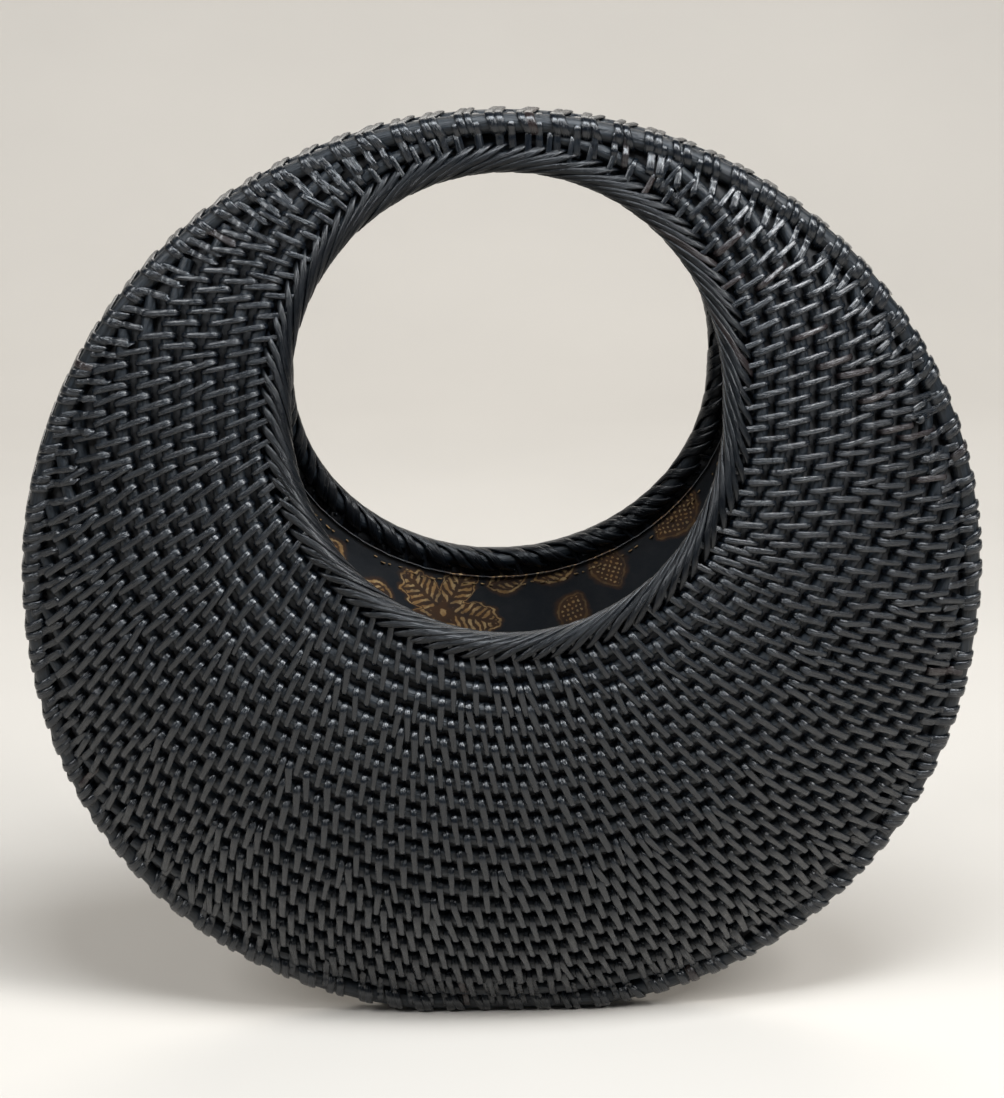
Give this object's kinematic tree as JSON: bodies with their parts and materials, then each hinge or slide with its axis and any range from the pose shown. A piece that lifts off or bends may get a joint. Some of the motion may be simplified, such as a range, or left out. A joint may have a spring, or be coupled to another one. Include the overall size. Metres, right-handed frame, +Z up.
{
  "type": "round rattan handbag",
  "caption": "Round black rattan handbag: two domed faces of concentric stitched rods, bound round mouth that leaves a slim handle, lashed edge hoops and a cloth lining.",
  "frame": {"origin": "on the resting plane, under the middle of the bag", "axes": "+X along the width to the right, +Y from the front face to the back face, +Z up to the handle"},
  "size_m": [0.32, 0.1028, 0.313],
  "materials": {
    "rattan_rod": "dyed black rattan rod, satin lacquer",
    "rattan_splint": "dyed black flat splint, semi-gloss lacquer",
    "lining_cloth": "printed cotton, dark navy with brown and gold leaves",
    "sewing_thread": "matt cream cotton thread"
  },
  "bodies": {
    "root": {"front_rod_01": "rattan_rod", "front_rod_02": "rattan_rod", "front_rod_03": "rattan_rod", "front_rod_04": "rattan_rod", "front_rod_05": "rattan_rod", "front_rod_06": "rattan_rod", "front_rod_07": "rattan_rod", "front_rod_08": "rattan_rod", "front_rod_09": "rattan_rod", "front_rod_10": "rattan_rod", "front_rod_11": "rattan_rod", "front_rod_12": "rattan_rod", "front_rod_13": "rattan_rod", "front_rod_14": "rattan_rod", "front_rod_15": "rattan_rod", "front_rod_16": "rattan_rod", "front_rod_17": "rattan_rod", "front_rod_18": "rattan_rod", "front_rod_19": "rattan_rod", "front_rod_20": "rattan_rod", "back_rod_01": "rattan_rod", "back_rod_02": "rattan_rod", "back_rod_03": "rattan_rod", "back_rod_04": "rattan_rod", "back_rod_05": "rattan_rod", "back_rod_06": "rattan_rod", "back_rod_07": "rattan_rod", "back_rod_08": "rattan_rod", "back_rod_09": "rattan_rod", "back_rod_10": "rattan_rod", "back_rod_11": "rattan_rod", "back_rod_12": "rattan_rod", "back_rod_13": "rattan_rod", "back_rod_14": "rattan_rod", "back_rod_15": "rattan_rod", "back_rod_16": "rattan_rod", "back_rod_17": "rattan_rod", "back_rod_18": "rattan_rod", "back_rod_19": "rattan_rod", "back_rod_20": "rattan_rod", "front_edge_hoop": "rattan_rod", "front_rim_core": "rattan_rod", "front_rim_binding": "rattan_splint", "front_stitching": "rattan_splint", "front_lining": "lining_cloth", "front_lining_thread": "sewing_thread", "back_edge_hoop": "rattan_rod", "back_rim_core": "rattan_rod", "back_rim_binding": "rattan_splint", "back_stitching": "rattan_splint", "back_lining": "lining_cloth", "back_lining_thread": "sewing_thread", "edge_lashing": "rattan_splint"}
  },
  "joints": []
}
